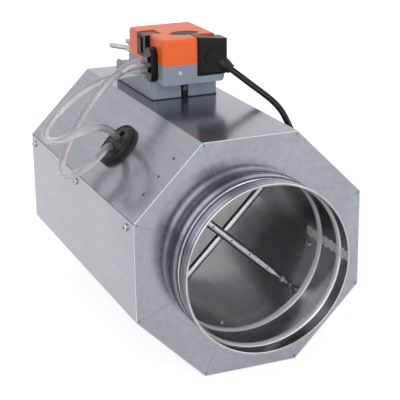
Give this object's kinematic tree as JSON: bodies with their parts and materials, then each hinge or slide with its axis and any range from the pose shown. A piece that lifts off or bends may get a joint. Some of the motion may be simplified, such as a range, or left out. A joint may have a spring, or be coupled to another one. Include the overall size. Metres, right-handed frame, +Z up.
{
  "type": "variable air volume box",
  "caption": "Insulated octagonal air volume controller with round beaded spigots, a measuring cross, a round damper blade on a vertical shaft, and a geared actuator on top with two hoses.",
  "frame": {"origin": "on the duct axis, in the plane of the casing's inlet face", "axes": "+X right as seen from the inlet, +Y along the duct with the air, +Z up"},
  "size_m": [0.3464, 0.4, 0.2874],
  "materials": {
    "galvanised": "zinc-coated sheet, dull with fine streaks",
    "zinc_screw": "bright zinc plate",
    "wool": "mineral wool",
    "spigot_steel": "bright zinc-coated sheet, tinted at the rim",
    "tube_aluminium": "bright drawn tube",
    "seal_rubber": "soft black rubber",
    "blade_steel": "zinc-coated sheet",
    "gear_steel": "sintered steel",
    "bush_plastic": "natural nylon",
    "grommet_rubber": "black rubber",
    "hose_silicone": "translucent hose, pinkish grey",
    "grey_plastic": "blue-grey moulded plastic",
    "black_plastic": "black moulded plastic",
    "orange_plastic": "orange moulded plastic",
    "lens_plastic": "dark window",
    "cable_sheath": "black flexible sheath",
    "gear_plastic": "white acetal",
    "motor_can": "plated can",
    "board": "green solder mask",
    "sensor": "dark moulded body"
  },
  "bodies": {
    "box": {"casing_upper": "galvanised", "casing_lower": "galvanised", "casing_screws": "zinc_screw", "insulation_upper": "wool", "insulation_lower": "wool", "front_spigot": "spigot_steel", "rear_spigot": "spigot_steel", "duct_tube": "galvanised", "spigot_rivets": "tube_aluminium", "total_pressure_tube": "tube_aluminium", "static_pressure_tube": "tube_aluminium", "probe_rivets": "tube_aluminium", "probe_ferrules": "seal_rubber", "shaft_bush_upper": "bush_plastic", "shaft_bush_lower": "bush_plastic", "shaft_seal": "seal_rubber", "hose_grommet": "grommet_rubber", "total_pressure_hose": "hose_silicone", "static_pressure_hose": "hose_silicone", "pedestal_gasket": "seal_rubber", "pedestal": "grey_plastic", "holding_strap": "black_plastic", "strap_screw": "zinc_screw", "lower_housing": "grey_plastic", "nose_cover": "grey_plastic", "housing_screws": "zinc_screw", "top_cover": "orange_plastic", "status_lens": "lens_plastic", "terminal_cover": "black_plastic", "terminal_strip": "grey_plastic", "strain_relief": "cable_sheath", "power_cable": "cable_sheath", "cable_coil": "cable_sheath", "pressure_port_block": "black_plastic", "pressure_nipples": "black_plastic", "side_inlay": "black_plastic", "gear_axles": "gear_steel", "motor": "motor_can", "circuit_board": "board", "pressure_sensor": "sensor"},
    "damper": {"blade_front": "blade_steel", "blade_rear": "blade_steel", "blade_seal": "seal_rubber", "damper_shaft": "gear_steel", "blade_fasteners": "zinc_screw", "output_gear": "gear_steel", "clamp_u_bolt": "zinc_screw", "clamp_nuts": "zinc_screw", "clamp_yoke": "zinc_screw", "position_pointer": "black_plastic"},
    "intermediate_gear": {"second_gear": "gear_plastic"},
    "motor_gear": {"first_gear": "gear_plastic"},
    "rotor": {"motor_pinion": "gear_steel"},
    "release": {"gear_release_button": "black_plastic"}
  },
  "joints": [
    {"name": "damper_turn", "type": "hinge", "parent": "box", "child": "damper", "pos_m": [0, 0.234, 0], "axis": [0, 0, 1], "range_deg": [-90, 0]},
    {"name": "intermediate_gear_turn", "type": "hinge", "parent": "box", "child": "intermediate_gear", "pos_m": [0, 0.207, 0.135], "axis": [0, 0, 1], "range_deg": [0, 360]},
    {"name": "motor_gear_turn", "type": "hinge", "parent": "box", "child": "motor_gear", "pos_m": [0.008, 0.18694, 0.138], "axis": [0, 0, 1], "range_deg": [-1080, 0]},
    {"name": "rotor_turn", "type": "hinge", "parent": "box", "child": "rotor", "pos_m": [0.016, 0.16687, 0.142], "axis": [0, 0, 1], "range_deg": [0, 3240]},
    {"name": "gear_release", "type": "slide", "parent": "box", "child": "release", "axis": [1, 0, 0], "range_m": [0, 0.0025], "stiffness_N_per_m": 400, "springref_m": -0.001}
  ],
  "couplings": [
    {"joint": "intermediate_gear_turn", "follows": "damper_turn", "ratio": -4},
    {"joint": "motor_gear_turn", "follows": "damper_turn", "ratio": 12},
    {"joint": "rotor_turn", "follows": "damper_turn", "ratio": -36}
  ]
}
